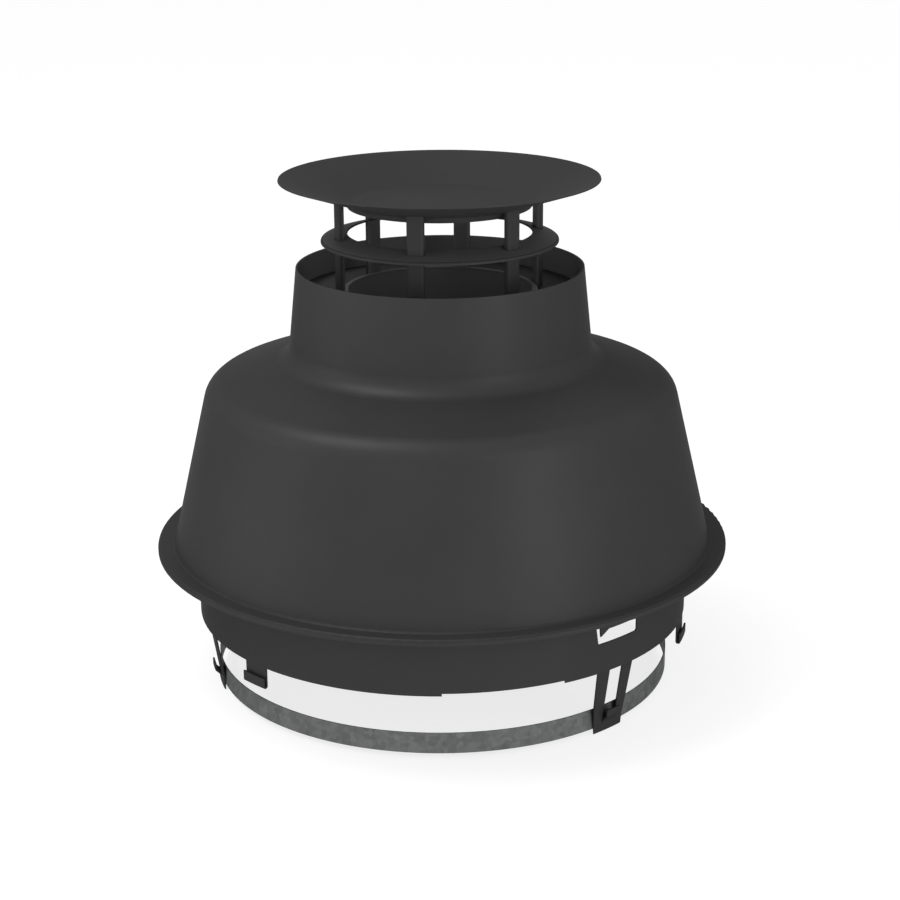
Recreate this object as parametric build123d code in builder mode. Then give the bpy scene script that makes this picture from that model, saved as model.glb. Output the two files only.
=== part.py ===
"""Roof flue cap: a spun hood over a clip-on base ring, with a flue outlet under a dished rain disc.

Millimetres. The axis of the cap is Z, the clips' feet stand on Z = 0, and the first clip is on +X.
"""
import os
from math import asin, atan2, cos, degrees, hypot, radians, sin

from build123d import *

# Driving dimensions: the sheet and the fits between pieces
sheet = 1.5  # hood, base ring, clips and wind ring
fold = 0.5  # inside radius of a sharp fold
weld_fit = 0.1  # between faces that are welded or riveted together
slide_fit = 0.2  # between pieces that pass through each other

# Duct strap: a galvanised band round the duct, under the clips
duct_r = 200.0
strap_sheet = 0.8
strap_width = 18.2
strap_z = 5.2
strap_gap = 9.0
strap_ear = 15.0
strap_turn = 180.0
strap_bolt_r = 2.5
strap_hex = 8.0
strap_head = 3.5
strap_nut_height = 4.0
strap_bolt_spare = 6.0
strap_bend = 2.0
bolt_chamfer = 0.5
near = 0.01  # a corner this close to a circle is on it

# Base ring: a rolled wall with shallow notches in its lower edge
base_stand = 16.2  # from the duct to the wall's outer face
base_height = 87.0
clip_height = 63.0
notch_turn = -29.7
notch_width = 102.8
notch_height = 2.2

# Clips: leaning straps, welded inside the base ring's wall, that press on the duct strap
clip_count = 3
clip_top_width = 45.0
clip_waist_width = 38.0
clip_foot_width = 32.0
clip_waist_z = 25.0
clip_pad = 10.0
clip_flange = 12.0
clip_step_z = 64.0
clip_inset = 5.0
clip_over = 21.0
foot_bend = 1.8
window_width = 15.5
window_over = 3.0
clip_bar = 8.0
tongue_reach = 5.9
tongue_height = 13.5

# Slots and snap tabs of the base ring's wall, one of each to a clip
slot_turn = -1.1
slot_length = 45.7
slot_height = 11.8
slot_rise = 25.6
slot_round = 2.0
tooth_gap = 1.9
tooth_tip = 0.75
tooth_width = 9.4
tooth_depth = 5.4
tooth_relief = 2.6
relief_lean = 2.3
tab_turn = 30.75
tab_width = 26.0
tab_drop = 18.0
tab_flap = 9.5
tab_reach = 3.0
tab_round = 2.1

# Hood: neck, shoulder, skirt and brim of one spun shell
brim_width = 15.0
brim_lift = 63.0
brim_drop = 4.6
skirt_gap = 19.8  # from the base ring's wall to the skirt's foot
skirt_height = 142.0
skirt_batter = 33.5  # how far the skirt leans in over its height
shoulder_rise = 22.5
shoulder_round = 21.5
neck_base_r = 131.5
neck_round = 18.0
neck_height = 76.5
neck_top_r = 123.5
small_round = 2.5

# Hood brackets, between the base ring and the skirt
bracket_sheet = 2.0
bracket_width = 24.0
bracket_turn = 60.0
bracket_leg = 22.0
bracket_rise = 14.0
bracket_pad = 25.0
rivet_r = 1.6
rivet_head_r = 3.2
rivet_head = 1.2
rivet_tail_r = 2.4
rivet_spacing = 12.0
wall_cut = 12.0  # depth of the cuts through the base ring's wall, each side of its outer face

# Flue pipe and the plate that carries it in the neck
flue_r = 84.0
flue_sheet = 1.2
flue_lip_r = 79.0
flue_drop = 19.5
spigot_r = 80.0
spigot_length = 70.0
spigot_foot = 30.0
spigot_cone = 12.0
plate_drop = 3.5
plate_flange = 9.0

# Struts, wind ring and rain disc
strut_count = 6
strut_turn = -0.6
strut_step = 62.2
strut_r = 87.3
strut_width = 15.0
strut_depth = 6.5
ring_hole_r = 79.0
ring_r = 101.5
ring_lift = 29.5
ring_fall = 5.3
ring_lip = 2.4
ring_bend = 2.0
disc_sheet = 1.0
disc_r = 136.2
disc_lift = 55.5
disc_rise = 20.4
disc_floor_r = 74.5
disc_round = 8.0
disc_plate_r = 78.5
disc_plate = 2.5

# Heights and radii that follow from the above
clip_turns = [k * 360 / clip_count for k in range(clip_count)]
half_count = strut_count // 2
strut_turns = [strut_turn + half + k * strut_step for half in (0, 180) for k in range(half_count)]
strap_r = duct_r + strap_sheet
base_r = duct_r + base_stand
skirt_r = base_r + skirt_gap
brim_r = skirt_r + brim_width
shoulder_r = skirt_r - skirt_batter
clip_step_r = base_r - clip_inset
clip_r = strap_r + weld_fit + sheet
flange_r = base_r - sheet - weld_fit
strap_mid_z = strap_z + strap_width / 2
base_z = clip_height
base_top = base_z + base_height
clip_top = base_z + clip_over
brim_z = base_z + brim_lift
shoulder_z = brim_z + skirt_height
neck_base_z = shoulder_z + shoulder_rise
neck_top_z = neck_base_z + neck_height
flue_top = neck_top_z - flue_drop
plate_z = flue_top - plate_drop
ring_z = neck_top_z + ring_lift
disc_floor_z = neck_top_z + disc_lift
disc_under_z = disc_floor_z - disc_sheet
skirt_lean = atan2(skirt_r - shoulder_r, skirt_height)
disc_slope = atan2(disc_rise, disc_r - disc_floor_r)


def turned(angle):
    """The plane through the axis at this angle: X is the radius, Y is the height."""
    a = radians(angle)
    return Plane((0, 0, 0), x_dir=(cos(a), sin(a), 0), z_dir=(sin(a), -cos(a), 0))


def facing(angle, radius):
    """A plane across the radius at this angle: X is to the right seen from outside, Y is the height."""
    a = radians(angle)
    return Plane((radius * cos(a), radius * sin(a), 0), x_dir=(-sin(a), cos(a), 0), z_dir=(cos(a), sin(a), 0))


def across(angle, radius, z):
    """A plane at a point of the cap, with its normal along the turn: X is the radius."""
    a = radians(angle)
    return Plane((radius * cos(a), radius * sin(a), z), x_dir=(cos(a), sin(a), 0), z_dir=(-sin(a), cos(a), 0))


def arc_of(width, radius):
    """Degrees of a circle that a straight width takes up."""
    return 2 * degrees(asin(width / 2 / radius))


def skirt_inside(z):
    """Radius of the skirt's inner face at a height."""
    return skirt_r - (z - brim_z) * (skirt_r - shoulder_r) / skirt_height - sheet / cos(skirt_lean)


def neck_inside(z):
    """Radius of the neck's inner face at a height."""
    lean = atan2(neck_base_r - neck_top_r, neck_height)
    return neck_top_r + (neck_top_z - z) * (neck_base_r - neck_top_r) / neck_height - sheet / cos(lean)


def sheet_section(points, bends, thickness, plane=Plane.XZ):
    """Section of a bent or spun sheet: the outer face is given, and the sheet lies to the right of it."""
    with BuildSketch(plane) as section:
        with BuildLine():
            FilletPolyline(*points, radius=bends)
            offset(amount=thickness, side=Side.RIGHT)
        make_face()
    return section.sketch


def finish(builder, name):
    """Labels a piece and writes its file."""
    builder.part.label = name
    export_step(builder.part, f"parts/{name}.step")


os.makedirs("parts", exist_ok=True)

# Hood, from the neck's cut rim down to the brim's turned edge
hood_points = [
    (neck_top_r, neck_top_z),
    (neck_base_r, neck_base_z),
    (shoulder_r, shoulder_z),
    (skirt_r, brim_z),
    (brim_r, brim_z),
    (brim_r, brim_z - brim_drop),
]
hood_bends = [neck_round, shoulder_round, small_round, small_round]
with BuildPart() as hood:
    revolve(sheet_section(hood_points, hood_bends, sheet), axis=Axis.Z)
finish(hood, "hood")

# Bracket and rivet places, shared by the base ring, the brackets and the rivets
pad_z = base_top + bracket_rise
pad_top = pad_z + bracket_pad
pad_step = weld_fit + bracket_sheet / cos(skirt_lean)
bracket_points = [
    (base_r + weld_fit, base_top - bracket_leg),
    (base_r + weld_fit, base_top + small_round),
    (skirt_inside(pad_z) - pad_step, pad_z),
    (skirt_inside(pad_top) - pad_step, pad_top),
]
bracket_arc = arc_of(bracket_width, base_r)
rivet_z = base_top - bracket_leg / 2
rivet_step = arc_of(rivet_spacing, base_r) / 2
grip_out = weld_fit * 2 + bracket_sheet
grip_in = -sheet - weld_fit - base_r + (base_r ** 2 - rivet_tail_r ** 2) ** 0.5

# Base ring: one rolled wall with its notches, snap tabs, slots and rivet holes
tab_foot = base_z - tab_drop
tab_points = [
    (base_r + tab_reach, tab_foot + tab_flap),
    (base_r + tab_reach, tab_foot),
    (base_r - sheet, tab_foot),
    (base_r - sheet, base_z),
]
tab_arc = arc_of(tab_width, base_r)
slot_z = base_z + slot_rise
slot_top = slot_z + slot_height
slot_left = -slot_length / 2
slot_points = [
    (slot_left, slot_z),
    (slot_length / 2, slot_z),
    (slot_length / 2, slot_top),
    (slot_left + tooth_gap + tooth_width, slot_top),
    (slot_left + tooth_gap + tooth_tip, slot_top - tooth_depth),
    (slot_left + tooth_gap, slot_top + tooth_relief),
    (slot_left - relief_lean, slot_top + tooth_relief),
]


def snap_tab(turn):
    """A strip that hangs from the wall, with its end folded outwards and up."""
    with BuildPart() as tab:
        section = sheet_section(tab_points, [tab_round, tab_round], sheet, turned(turn - tab_arc / 2))
        revolve(section, axis=Axis.Z, revolution_arc=tab_arc)
    return tab.part


snap_tabs = [snap_tab(turn + tab_turn) for turn in clip_turns]
with BuildPart() as base_ring:
    with BuildSketch(Plane.XY.offset(base_z)):
        Circle(base_r)
        Circle(base_r - sheet, mode=Mode.SUBTRACT)
    extrude(amount=base_height)

    # Notches in the lower edge
    for turn in clip_turns:
        with BuildSketch(facing(turn + notch_turn, base_r - 2 * wall_cut)):
            with Locations((0, base_z)):
                Rectangle(notch_width, 2 * notch_height)
        extrude(amount=3 * wall_cut, mode=Mode.SUBTRACT)

    add(snap_tabs)

    # Slots with a locking tooth, above the clips
    for turn in clip_turns:
        with BuildSketch(facing(turn + slot_turn, base_r - wall_cut)) as slot:
            with BuildLine():
                Polyline(*slot_points, close=True)
            make_face()
            fillet(slot.vertices().sort_by(Axis.X)[-2:], slot_round)
        extrude(amount=2 * wall_cut, mode=Mode.SUBTRACT)

    # Rivet holes for the hood brackets
    for turn in clip_turns:
        for side in (-1, 1):
            with BuildSketch(facing(turn + bracket_turn + side * rivet_step, base_r - wall_cut)):
                with Locations((0, rivet_z)):
                    Circle(rivet_r + weld_fit)
    extrude(amount=2 * wall_cut, mode=Mode.SUBTRACT)
finish(base_ring, "base_ring")

# Clips: a flange on the wall, two leaning legs, a pad with a turned foot, and a bent tongue
clip_points = [
    (flange_r, clip_top),
    (flange_r, clip_top - clip_flange),
    (clip_step_r, clip_step_z),
    (clip_r, clip_pad),
    (clip_r, 0),
    (duct_r - sheet, 0),
]
clip_bends = [sheet + fold, sheet + fold, sheet + fold, foot_bend]
clip_arc = arc_of(clip_top_width, clip_r)
clip_outline = [
    (-clip_foot_width / 2, 0),
    (clip_foot_width / 2, 0),
    (clip_waist_width / 2, clip_waist_z),
    (clip_top_width / 2, clip_top),
    (-clip_top_width / 2, clip_top),
    (-clip_waist_width / 2, clip_waist_z),
]
window_top = base_z + window_over
tongue_points = [
    (clip_r + tongue_reach, clip_bar + tongue_height),
    (clip_r + tongue_reach, clip_bar + sheet + tongue_reach),
    (clip_r, clip_bar + sheet),
    (clip_r, clip_bar),
]
tongue_arc = arc_of(window_width - 2 * slide_fit, clip_r + tongue_reach)
for k, turn in enumerate(clip_turns, start=1):
    with BuildPart() as clip:
        section = sheet_section(clip_points, clip_bends, sheet, turned(turn - clip_arc / 2))
        revolve(section, axis=Axis.Z, revolution_arc=clip_arc)
        with BuildSketch(facing(turn, duct_r + slide_fit)):
            with BuildLine():
                Polyline(*clip_outline, close=True)
            make_face()
        extrude(amount=3 * wall_cut, mode=Mode.INTERSECT)
        with BuildSketch(facing(turn, base_r - 2 * wall_cut)):
            with Locations((0, (clip_bar + window_top) / 2)):
                Rectangle(window_width, window_top - clip_bar)
        extrude(amount=3 * wall_cut, mode=Mode.SUBTRACT)
        tongue = sheet_section(tongue_points, [sheet + fold, fold], sheet, turned(turn - tongue_arc / 2))
        revolve(tongue, axis=Axis.Z, revolution_arc=tongue_arc)
    finish(clip, f"clip_{k}")

# Duct strap: a band with two ears, drawn together by a bolt and a nut
ear_y = strap_gap / 2
bolt_x = strap_r + strap_ear / 2
with BuildPart() as strap:
    with BuildSketch(Rotation(0, 0, strap_turn) * Plane.XY.offset(strap_z)) as band:
        Circle(strap_r)
        Circle(duct_r, mode=Mode.SUBTRACT)
        with Locations((duct_r, 0)):
            Rectangle(strap_ear, strap_gap, mode=Mode.SUBTRACT)
        for side in (-1, 1):
            with Locations((duct_r + (strap_ear + strap_sheet) / 2, side * (ear_y + strap_sheet / 2))):
                Rectangle(strap_ear + strap_sheet, strap_sheet)
        roots = [v for v in band.vertices() if abs(hypot(v.X, v.Y) - strap_r) < near]
        fillet(roots, strap_bend)
    extrude(amount=strap_width)
    with BuildSketch(across(strap_turn, bolt_x, strap_mid_z)):
        Circle(strap_bolt_r + slide_fit)
    extrude(amount=strap_gap, both=True, mode=Mode.SUBTRACT)
finish(strap, "strap")

bolt_plane = across(strap_turn, bolt_x, strap_mid_z)
ear_face = ear_y + strap_sheet
with BuildPart() as strap_bolt:
    with BuildSketch(bolt_plane.offset(-ear_face - strap_head)):
        RegularPolygon(strap_hex / 2, 6, major_radius=False)
    extrude(amount=strap_head - weld_fit)
    chamfer(strap_bolt.faces().sort_by(Axis((0, 0, 0), bolt_plane.z_dir))[0].edges(), bolt_chamfer)
    with BuildSketch(bolt_plane.offset(-ear_face - strap_head / 2)):
        Circle(strap_bolt_r)
    extrude(amount=2 * ear_face + strap_head / 2 + strap_nut_height + strap_bolt_spare)
    chamfer(strap_bolt.faces().sort_by(Axis((0, 0, 0), bolt_plane.z_dir))[-1].edges(), bolt_chamfer)
finish(strap_bolt, "strap_bolt")

with BuildPart() as strap_nut:
    with BuildSketch(bolt_plane.offset(ear_face + weld_fit)):
        RegularPolygon(strap_hex / 2, 6, major_radius=False)
        Circle(strap_bolt_r + weld_fit, mode=Mode.SUBTRACT)
    extrude(amount=strap_nut_height)
finish(strap_nut, "strap_nut")

# Flue pipe: turned in at the top, necked down to a spigot at the foot
spigot_top = spigot_foot + spigot_length
flue_points = [
    (flue_lip_r, flue_top),
    (flue_r, flue_top),
    (flue_r, spigot_top + spigot_cone),
    (spigot_r, spigot_top),
    (spigot_r, spigot_foot),
]
flue_bends = [small_round, 2 * small_round, 2 * small_round]
with BuildPart() as flue_pipe:
    revolve(sheet_section(flue_points, flue_bends, flue_sheet), axis=Axis.Z)
finish(flue_pipe, "flue_pipe")

# Neck plate: closes the neck round the flue pipe and carries it
plate_foot = plate_z - plate_flange
plate_points = [
    (flue_r + weld_fit, plate_foot),
    (flue_r + weld_fit, plate_z),
    (neck_inside(plate_z) - weld_fit, plate_z),
    (neck_inside(plate_foot) - weld_fit, plate_foot),
]
with BuildPart() as neck_plate:
    revolve(sheet_section(plate_points, [small_round, small_round], sheet), axis=Axis.Z)
finish(neck_plate, "neck_plate")

# Wind ring: a flat cone with a turned-down edge, and a hole for each strut
ring_points = [
    (ring_hole_r, ring_z),
    (ring_r, ring_z - ring_fall),
    (ring_r, ring_z - ring_fall - ring_lip),
]
with BuildPart() as wind_ring:
    revolve(sheet_section(ring_points, [ring_bend], sheet), axis=Axis.Z)
    with BuildSketch(Plane.XY.offset(plate_z)):
        for turn in strut_turns:
            place = (strut_r * cos(radians(turn)), strut_r * sin(radians(turn)), 0)
            with Locations(Location(place, (0, 0, turn))):
                SlotOverall(strut_width + 2 * slide_fit, strut_depth + 2 * slide_fit, rotation=90)
    extrude(amount=disc_floor_z - plate_z, mode=Mode.SUBTRACT)
finish(wind_ring, "wind_ring")

# Rain disc: a dish with a flat floor, and the plate that stiffens it from below
disc_points = [(0, disc_floor_z), (disc_floor_r, disc_floor_z), (disc_r, disc_floor_z + disc_rise)]
with BuildPart() as rain_disc:
    revolve(sheet_section(disc_points, [disc_round], disc_sheet), axis=Axis.Z)
finish(rain_disc, "rain_disc")

with BuildPart() as disc_stiffener:
    with BuildSketch(Plane.XY.offset(disc_under_z - weld_fit - disc_plate)):
        Circle(disc_plate_r)
    extrude(amount=disc_plate)
finish(disc_stiffener, "disc_stiffener")


def disc_under(radius):
    """Height of the rain disc's underside on its cone, less the weld's fit."""
    top = disc_floor_z + (radius - disc_floor_r) * disc_rise / (disc_r - disc_floor_r)
    return top - disc_sheet / cos(disc_slope) - weld_fit


# Struts, from the neck plate through the wind ring to the rain disc
over_disc = disc_floor_z + 2 * disc_rise
trim_points = [
    (disc_floor_r, disc_under(disc_floor_r)),
    (disc_r, disc_under(disc_r)),
    (disc_r, over_disc),
    (disc_floor_r, over_disc),
]
for k, turn in enumerate(strut_turns, start=1):
    with BuildPart() as strut:
        with BuildSketch(Rotation(0, 0, turn) * Plane.XY.offset(plate_z + weld_fit)):
            with Locations((strut_r, 0)):
                SlotOverall(strut_width, strut_depth, rotation=90)
        extrude(amount=disc_floor_z + disc_rise - plate_z)
        with BuildSketch(turned(turn)):
            with BuildLine():
                Polyline(*trim_points, close=True)
            make_face()
        revolve(axis=Axis.Z, mode=Mode.SUBTRACT)
    finish(strut, f"strut_{k}")

# Hood brackets: joggled straps from the base ring's wall up to the skirt
for k, turn in enumerate(clip_turns, start=1):
    with BuildPart() as hood_bracket:
        section = sheet_section(bracket_points, [small_round, 2 * small_round], bracket_sheet,
                                turned(turn + bracket_turn - bracket_arc / 2))
        revolve(section, axis=Axis.Z, revolution_arc=bracket_arc)
        for side in (-1, 1):
            with BuildSketch(facing(turn + bracket_turn + side * rivet_step, base_r - wall_cut)):
                with Locations((0, rivet_z)):
                    Circle(rivet_r + weld_fit)
            extrude(amount=2 * wall_cut, mode=Mode.SUBTRACT)
    finish(hood_bracket, f"hood_bracket_{k}")

# Rivets through the brackets and the base ring: a domed head outside, a flat tail inside
rivet_points = [
    (0, grip_out + rivet_head),
    (rivet_head_r / 2, grip_out + rivet_head),
    (rivet_head_r, grip_out),
    (rivet_r, grip_out),
    (rivet_r, grip_in),
    (rivet_tail_r, grip_in),
    (rivet_tail_r, grip_in - rivet_head),
    (0, grip_in - rivet_head),
]
for k, turn in enumerate(clip_turns, start=1):
    for side, letter in ((-1, "a"), (1, "b")):
        face = facing(turn + bracket_turn + side * rivet_step, base_r)
        rivet_axis = Axis(face.from_local_coords((0, rivet_z, 0)), face.z_dir)
        with BuildPart() as rivet:
            with BuildSketch(Plane(rivet_axis.position, x_dir=face.x_dir, z_dir=(0, 0, -1))):
                with BuildLine():
                    Polyline(*rivet_points, close=True)
                make_face()
            revolve(axis=rivet_axis)
        finish(rivet, f"bracket_rivet_{k}{letter}")
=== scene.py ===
"""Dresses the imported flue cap: coated sheet, galvanised strap, soft studio light and the photo's camera."""
from math import cos, pi, radians, sin

import bpy
from mathutils import Matrix, Vector


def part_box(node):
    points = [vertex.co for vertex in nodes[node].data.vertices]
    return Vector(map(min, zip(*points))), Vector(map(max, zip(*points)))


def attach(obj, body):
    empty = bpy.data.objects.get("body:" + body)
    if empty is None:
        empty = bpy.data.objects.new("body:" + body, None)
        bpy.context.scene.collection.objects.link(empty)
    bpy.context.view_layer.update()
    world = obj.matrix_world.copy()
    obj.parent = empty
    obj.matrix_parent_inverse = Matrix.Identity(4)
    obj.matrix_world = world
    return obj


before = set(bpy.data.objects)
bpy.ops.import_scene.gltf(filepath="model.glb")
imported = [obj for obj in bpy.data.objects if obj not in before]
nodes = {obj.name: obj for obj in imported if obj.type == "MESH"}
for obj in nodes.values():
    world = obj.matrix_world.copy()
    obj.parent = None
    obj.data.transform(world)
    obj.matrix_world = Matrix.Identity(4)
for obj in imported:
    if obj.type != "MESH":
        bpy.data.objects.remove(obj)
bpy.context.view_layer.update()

# Camera, from a fit of the photo's ellipses: metres, degrees, and pixels of a 900 pixel frame
CAMERA_TURN = -43.15
CAMERA_REACH = 1.7047
CAMERA_HEIGHT = 0.7517
CAMERA_PITCH = 17.92
CAMERA_YAW = 0.253
CAMERA_ROLL = -0.35
CAMERA_FOCAL = 2034.7
FRAME_SIZE = 900
SENSOR = 36.0

# Finishes: a darker and a lighter tone of each, which a soft noise mixes; some of them are painted light, as
# marked
COAT_DARK = (0.0470, 0.0470, 0.0483, 1)
COAT_LIGHT = (0.0520, 0.0520, 0.0534, 1)
# Painted light: a paler coat on the faces of the base ring, struts and clips that look in towards the axis,
# and on the wind ring's top
SIDE_PAINTED_LIGHT_DARK = (0.1300, 0.1300, 0.1320, 1)
SIDE_PAINTED_LIGHT_PALE = (0.1450, 0.1450, 0.1470, 1)
# Painted light: a paler coat on the faces of the rain disc and its stiffener that look down, and all over the
# neck plate
UNDER_PAINTED_LIGHT_DARK = (0.0650, 0.0650, 0.0662, 1)
UNDER_PAINTED_LIGHT_PALE = (0.0730, 0.0730, 0.0743, 1)
# Partly the flue pipe's and brackets' own paler metal, raised further as painted light that brightens the
# inside of the neck
INSIDE_METAL_AND_PAINTED_LIGHT_DARK = (0.1650, 0.1650, 0.1670, 1)
INSIDE_METAL_AND_PAINTED_LIGHT_PALE = (0.1800, 0.1800, 0.1820, 1)
# Painted light: a paler coat on the faces inside the hood that look in towards the axis
HOOD_INSIDE_PAINTED_LIGHT_DARK = (0.1900, 0.1900, 0.1920, 1)
HOOD_INSIDE_PAINTED_LIGHT_PALE = (0.2100, 0.2100, 0.2120, 1)
ZINC_DARK = (0.105, 0.108, 0.108, 1)
ZINC_LIGHT = (0.190, 0.194, 0.195, 1)
PLATED_DARK = (0.42, 0.42, 0.43, 1)
PLATED_LIGHT = (0.58, 0.58, 0.59, 1)
FLOOR_DARK = (0.91, 0.91, 0.91, 1)
FLOOR_LIGHT = (0.94, 0.94, 0.94, 1)

# Painted shade on the bends of the brim: its tone, the lean of the faces that have it in full, and how high
# it reaches
BEND_PAINTED_SHADE = (0.78, 0.78, 0.78, 1)
BEND_RANGE = (0.50, 0.78)
BRIM_RISE = 0.012

# Floor and sky: the floor's half width, its colour and glow where it is seen, and the sky's light on the cap
FLOOR_HALF = 6.0
FLOOR_SEEN = (0.33, 0.33, 0.33, 1)
FLOOR_WHITE = 0.78
SKY_LIGHT = 0.62

# Seam between the rain disc and its stiffener, in metres
BEAD_WIDTH = 0.0035
BEAD_FOOT = 0.0006
BEAD_RISE = 0.0049
BEAD_STEPS = 180


def new_material(name):
    """A material with its principled shader, and a function that adds nodes to it."""
    material = bpy.data.materials.new(name)
    material.use_nodes = True
    tree = material.node_tree
    shader = tree.nodes["Principled BSDF"]

    def add(kind, **inputs):
        node = tree.nodes.new(kind)
        for key, value in inputs.items():
            node.inputs[key.replace("_", " ")].default_value = value
        return node

    return material, tree.links, shader, add


def two_tone(add, links, factor, dark, light, low=0.3, high=0.7):
    """A colour that runs from dark to light with a factor."""
    ramp = add("ShaderNodeValToRGB")
    ramp.color_ramp.elements[0].position = low
    ramp.color_ramp.elements[0].color = dark
    ramp.color_ramp.elements[1].position = high
    ramp.color_ramp.elements[1].color = light
    links.new(factor, ramp.inputs["Fac"])
    return ramp.outputs["Color"]


def spread(add, links, factor, low, high):
    """A number that runs from low to high with a factor from 0 to 1."""
    span = add("ShaderNodeMapRange", To_Min=low, To_Max=high)
    links.new(factor, span.inputs["Value"])
    return span.outputs["Result"]


def faces_axis(add, links):
    """A factor of 1 on faces that look in towards the cap's axis, and 0 on those that look out."""
    surface = add("ShaderNodeNewGeometry")
    flat = add("ShaderNodeVectorMath")
    flat.operation = "MULTIPLY"
    flat.inputs[1].default_value = (1, 1, 0)
    links.new(surface.outputs["Position"], flat.inputs[0])
    outward = add("ShaderNodeVectorMath")
    outward.operation = "NORMALIZE"
    links.new(flat.outputs["Vector"], outward.inputs[0])
    slant = add("ShaderNodeVectorMath")
    slant.operation = "DOT_PRODUCT"
    links.new(outward.outputs["Vector"], slant.inputs[0])
    links.new(surface.outputs["Normal"], slant.inputs[1])
    return ramp_up(add, links, slant.outputs["Value"], -0.05, -0.45)


def upward(add, links, kind):
    """The upward part of a surface's normal or position."""
    surface = add("ShaderNodeNewGeometry")
    parts = add("ShaderNodeSeparateXYZ")
    links.new(surface.outputs[kind], parts.inputs["Vector"])
    return parts.outputs["Z"]


def ramp_up(add, links, value, start, end):
    """A factor that grows from 0 to 1 as a value goes from start to end."""
    factor = add("ShaderNodeMapRange", From_Min=start, From_Max=end)
    links.new(value, factor.inputs["Value"])
    return factor.outputs["Result"]


def faces_down(add, links):
    """A factor of 1 on faces that look down."""
    return ramp_up(add, links, upward(add, links, "Normal"), -0.05, -0.45)


def faces_up(add, links):
    """A factor of 1 on faces that look straight up."""
    return ramp_up(add, links, upward(add, links, "Normal"), 0.90, 0.98)


def blend(add, links, factor, first, second, kind="MIX"):
    """Two colours mixed by a factor."""
    mix = add("ShaderNodeMix")
    mix.data_type = "RGBA"
    mix.blend_type = kind
    links.new(factor, mix.inputs["Factor"])
    links.new(first, mix.inputs[6])
    links.new(second, mix.inputs[7])
    return mix.outputs[2]


def brim_bends_painted_shade(add, links, colour):
    """The same colour with painted shade: a little darker on the brim's bends, which would shine more than
    the photo's.
    """
    tone = add("ShaderNodeValToRGB")
    stops = tone.color_ramp.elements
    stops[0].position = 0.30
    stops[0].color = (1, 1, 1, 1)
    stops[1].position = 0.97
    stops[1].color = (1, 1, 1, 1)
    for lean in BEND_RANGE:
        stops.new(lean).color = BEND_PAINTED_SHADE
    links.new(upward(add, links, "Normal"), tone.inputs["Fac"])
    brim_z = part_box("hood")[0][2]
    height = upward(add, links, "Position")
    low = ramp_up(add, links, height, brim_z + 2 * BRIM_RISE, brim_z + BRIM_RISE)
    return blend(add, links, low, colour, tone.outputs["Color"], "MULTIPLY")


def coated_sheet(name, dark, light, rough, painted_light=None, painted_light_side=faces_axis, tone=None):
    """Satin powder coat: a faint mottle and the fine orange peel of the coat, with painted light as a paler
    coat on the faces one mask picks, and painted shade where it is given.
    """
    material, links, shader, add = new_material(name)
    shader.inputs["Specular IOR Level"].default_value = 0.0
    shader.inputs["Metallic"].default_value = 0.35
    shader.inputs["Specular Tint"].default_value = (0.45, 0.45, 0.45, 1)
    place = add("ShaderNodeTexCoord")
    mottle = add("ShaderNodeTexNoise", Scale=9.0, Detail=5.0, Roughness=0.6)
    links.new(place.outputs["Object"], mottle.inputs["Vector"])
    colour = two_tone(add, links, mottle.outputs["Fac"], dark, light)
    # Painted light: a paler coat on the faces that the mask picks, standing in for light on them
    if painted_light:
        paler = two_tone(add, links, mottle.outputs["Fac"], *painted_light)
        colour = blend(add, links, painted_light_side(add, links), colour, paler)
    # Painted shade: a darker tone where one is given, as on the brim's bends
    if tone:
        colour = tone(add, links, colour)
    links.new(colour, shader.inputs["Base Color"])
    grain = add("ShaderNodeTexNoise", Scale=420.0, Detail=3.0)
    links.new(place.outputs["Object"], grain.inputs["Vector"])
    gloss = spread(add, links, grain.outputs["Fac"], rough - 0.05, rough + 0.05)
    links.new(gloss, shader.inputs["Roughness"])
    peel = add("ShaderNodeBump", Strength=0.12, Distance=0.0004)
    links.new(grain.outputs["Fac"], peel.inputs["Height"])
    links.new(peel.outputs["Normal"], shader.inputs["Normal"])
    return material


def galvanised(name):
    """Hot-dip zinc: crystals of differing brightness, with fine streaks."""
    material, links, shader, add = new_material(name)
    shader.inputs["Metallic"].default_value = 1.0
    shader.inputs["Specular Tint"].default_value = (0.4, 0.4, 0.4, 1)
    place = add("ShaderNodeTexCoord")
    crystals = add("ShaderNodeTexVoronoi", Scale=210.0)
    links.new(place.outputs["Object"], crystals.inputs["Vector"])
    grey = add("ShaderNodeSeparateColor")
    links.new(crystals.outputs["Color"], grey.inputs["Color"])
    cloud = add("ShaderNodeTexNoise", Scale=70.0, Detail=5.0, Roughness=0.7)
    links.new(place.outputs["Object"], cloud.inputs["Vector"])
    both = add("ShaderNodeMix", Factor=0.3)
    links.new(cloud.outputs["Fac"], both.inputs["A"])
    links.new(grey.outputs["Red"], both.inputs["B"])
    colour = two_tone(add, links, both.outputs["Result"], ZINC_DARK, ZINC_LIGHT, 0.2, 0.8)
    links.new(colour, shader.inputs["Base Color"])
    gloss = spread(add, links, grey.outputs["Green"], 0.46, 0.56)
    links.new(gloss, shader.inputs["Roughness"])
    grain = add("ShaderNodeTexNoise", Scale=700.0, Detail=4.0)
    links.new(place.outputs["Object"], grain.inputs["Vector"])
    rough = add("ShaderNodeBump", Strength=0.1, Distance=0.0003)
    links.new(grain.outputs["Fac"], rough.inputs["Height"])
    links.new(rough.outputs["Normal"], shader.inputs["Normal"])
    return material


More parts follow.
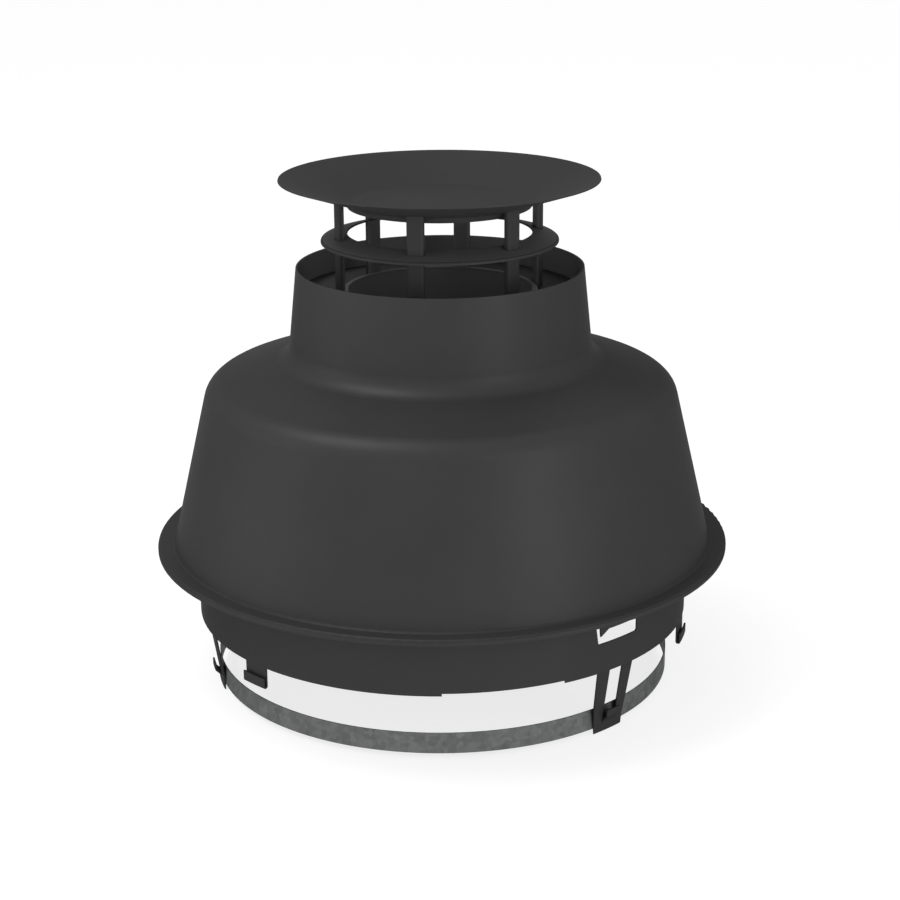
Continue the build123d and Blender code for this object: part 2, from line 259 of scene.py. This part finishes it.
def plated(name):
    """Bright zinc plate on fasteners, with faint machining marks."""
    material, links, shader, add = new_material(name)
    shader.inputs["Metallic"].default_value = 1.0
    place = add("ShaderNodeTexCoord")
    marks = add("ShaderNodeTexNoise", Scale=260.0, Detail=4.0)
    links.new(place.outputs["Object"], marks.inputs["Vector"])
    colour = two_tone(add, links, marks.outputs["Fac"], PLATED_DARK, PLATED_LIGHT)
    links.new(colour, shader.inputs["Base Color"])
    gloss = spread(add, links, marks.outputs["Fac"], 0.25, 0.42)
    links.new(gloss, shader.inputs["Roughness"])
    return material


def dress(material, *names):
    """Gives CAD nodes one material."""
    for name in names:
        mesh = nodes[name].data
        mesh.materials.clear()
        mesh.materials.append(material)


def named(start):
    """The CAD nodes whose names begin with these letters."""
    return [name for name in nodes if name.startswith(start)]


def seam_bead(material):
    """The seam that closes the wedge between the rain disc's cone and the stiffener's edge."""
    low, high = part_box("disc_stiffener")
    edge = high[0]
    profile = [(edge, low[2] + BEAD_FOOT), (edge + BEAD_WIDTH, low[2] + BEAD_RISE), (edge, high[2])]
    count = len(profile)
    points = []
    faces = []
    for step in range(BEAD_STEPS):
        angle = 2 * pi * step / BEAD_STEPS
        points += [(r * cos(angle), r * sin(angle), z) for r, z in profile]
        here = step * count
        there = (step + 1) % BEAD_STEPS * count
        for k in range(count):
            after = (k + 1) % count
            faces.append((here + k, there + k, there + after, here + after))
    mesh = bpy.data.meshes.new("seam_bead")
    mesh.from_pydata(points, [], faces)
    mesh.materials.append(material)
    bead = bpy.data.objects.new("seam_bead", mesh)
    bpy.context.scene.collection.objects.link(bead)
    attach(bead, "root")


def background_rays(tree):
    """A factor of 1 for the rays that show the background: to the camera, or by way of gloss or glass."""
    paths = tree.nodes.new("ShaderNodeLightPath")
    factor = paths.outputs["Is Camera Ray"]
    for kind in ("Is Glossy Ray", "Is Transmission Ray"):
        either = tree.nodes.new("ShaderNodeMath")
        either.operation = "MAXIMUM"
        tree.links.new(factor, either.inputs[0])
        tree.links.new(paths.outputs[kind], either.inputs[1])
        factor = either.outputs[0]
    return factor


def stage_floor():
    """A pale floor under the clips' feet: white where it is seen, with the cap's shadow on it."""
    mesh = bpy.data.meshes.new("floor")
    corners = [(x * FLOOR_HALF, y * FLOOR_HALF, 0) for x, y in ((-1, -1), (1, -1), (1, 1), (-1, 1))]
    mesh.from_pydata(corners, [], [(0, 1, 2, 3)])
    floor = bpy.data.objects.new("floor", mesh)
    bpy.context.scene.collection.objects.link(floor)
    material, links, shader, add = new_material("pale_floor")
    place = add("ShaderNodeTexCoord")
    cloud = add("ShaderNodeTexNoise", Scale=2.0, Detail=2.0)
    links.new(place.outputs["Object"], cloud.inputs["Vector"])
    seen = background_rays(material.node_tree)
    plain = add("ShaderNodeRGB")
    plain.outputs["Color"].default_value = FLOOR_SEEN
    pale = two_tone(add, links, cloud.outputs["Fac"], FLOOR_DARK, FLOOR_LIGHT)
    colour = blend(add, links, seen, pale, plain.outputs["Color"])
    links.new(colour, shader.inputs["Base Color"])
    glow = spread(add, links, seen, 0.0, FLOOR_WHITE)
    links.new(glow, shader.inputs["Emission Strength"])
    shader.inputs["Emission Color"].default_value = (1, 1, 1, 1)
    shader.inputs["Roughness"].default_value = 0.9
    shader.inputs["Specular IOR Level"].default_value = 0.0
    mesh.materials.append(material)


def studio_world():
    """White for the camera and for gloss, and a plain level of light for everything else."""
    world = bpy.data.worlds.new("studio")
    bpy.context.scene.world = world
    world.use_nodes = True
    tree = world.node_tree
    background = tree.nodes["Background"]
    background.inputs["Color"].default_value = (1, 1, 1, 1)
    level = tree.nodes.new("ShaderNodeMapRange")
    level.inputs["To Min"].default_value = SKY_LIGHT
    level.inputs["To Max"].default_value = 1.0
    tree.links.new(background_rays(tree), level.inputs["Value"])
    tree.links.new(level.outputs["Result"], background.inputs["Strength"])


def towards(angle):
    """The level direction at an angle about the cap's axis."""
    return Vector((cos(radians(angle)), sin(radians(angle)), 0))


def soft_box(name, turn, reach, height, wide, tall, power, aim=(0, 0, 0.25)):
    """An area lamp that faces the cap."""
    lamp = bpy.data.lights.new(name, "AREA")
    lamp.shape = "RECTANGLE"
    lamp.size = wide
    lamp.size_y = tall
    lamp.energy = power
    box = bpy.data.objects.new(name, lamp)
    box.location = towards(CAMERA_TURN + turn) * reach + Vector((0, 0, height))
    box.rotation_euler = (Vector(aim) - box.location).to_track_quat("-Z", "Y").to_euler()
    bpy.context.scene.collection.objects.link(box)


def photo_camera():
    """The camera that took the photo."""
    pitch, yaw, roll = radians(CAMERA_PITCH), radians(CAMERA_YAW), radians(CAMERA_ROLL)
    away = -towards(CAMERA_TURN)
    right = Vector((away.y, -away.x, 0))
    up = Vector((0, 0, 1))
    look = (right * sin(yaw) + away * cos(yaw)) * cos(pitch) - up * sin(pitch)
    level = right * cos(yaw) - away * sin(yaw)
    rise = level.cross(look)
    side = level * cos(roll) + rise * sin(roll)
    head = rise * cos(roll) - level * sin(roll)
    lens = bpy.data.cameras.new("photo_camera")
    lens.sensor_width = SENSOR
    lens.lens = CAMERA_FOCAL / FRAME_SIZE * SENSOR
    lens.clip_end = 50
    camera = bpy.data.objects.new("photo_camera", lens)
    place = towards(CAMERA_TURN) * CAMERA_REACH + Vector((0, 0, CAMERA_HEIGHT))
    turn = Matrix((side, head, -look)).transposed().to_4x4()
    camera.matrix_world = Matrix.Translation(place) @ turn
    bpy.context.scene.collection.objects.link(camera)
    bpy.context.scene.camera = camera


# Painted light and shade: a paler coat on the hood's inside faces, and darker brim bends
hood_painted_light_and_shade = coated_sheet("hood_painted_light_and_shade_sheet", COAT_DARK, COAT_LIGHT, 0.46, (HOOD_INSIDE_PAINTED_LIGHT_DARK, HOOD_INSIDE_PAINTED_LIGHT_PALE), tone=brim_bends_painted_shade)
# Painted light: a paler coat on the inward faces of the base ring, struts and clips
inward_painted_light = coated_sheet("painted_light_sheet", COAT_DARK, COAT_LIGHT, 0.46, (SIDE_PAINTED_LIGHT_DARK, SIDE_PAINTED_LIGHT_PALE))
# Painted light: a paler coat where the rain disc and its stiffener look down
disc_painted_light = coated_sheet("disc_painted_light_sheet", COAT_DARK, COAT_LIGHT, 0.46, (UNDER_PAINTED_LIGHT_DARK, UNDER_PAINTED_LIGHT_PALE), faces_down)
# Painted light: a paler coat all over the neck plate
neck_plate_painted_light = coated_sheet("neck_plate_painted_light_coat", UNDER_PAINTED_LIGHT_DARK, UNDER_PAINTED_LIGHT_PALE, 0.58)
# Painted light: a paler coat on the wind ring's top
ring = coated_sheet("ring_top_painted_light_sheet", COAT_DARK, COAT_LIGHT, 0.5, (SIDE_PAINTED_LIGHT_DARK, SIDE_PAINTED_LIGHT_PALE), faces_up)
# Partly own paler metal, partly painted light: the flue pipe and hood brackets
inside_metal_and_painted_light = coated_sheet("inside_metal_and_painted_light_coat", INSIDE_METAL_AND_PAINTED_LIGHT_DARK, INSIDE_METAL_AND_PAINTED_LIGHT_PALE, 0.6)
dress(hood_painted_light_and_shade, "hood")
dress(inward_painted_light, "base_ring", *named("strut_"), *named("clip_"))
dress(disc_painted_light, "rain_disc", "disc_stiffener")
dress(ring, "wind_ring")
dress(neck_plate_painted_light, "neck_plate")
dress(inside_metal_and_painted_light, "flue_pipe", *named("hood_bracket"))
dress(galvanised("galvanised"), "strap")
dress(plated("plated_fastener"), "strap_bolt", "strap_nut", *named("bracket_rivet"))
seam_bead(disc_painted_light)

stage_floor()
studio_world()
soft_box("key", 42, 2.2, 0.72, 0.7, 1.4, 9)
soft_box("fill", -75, 1.2, 2.3, 1.2, 1.2, 25)
soft_box("side", -80, 2.4, 0.8, 1.2, 1.2, 6)
photo_camera()
bpy.context.scene.view_settings.view_transform = "Standard"
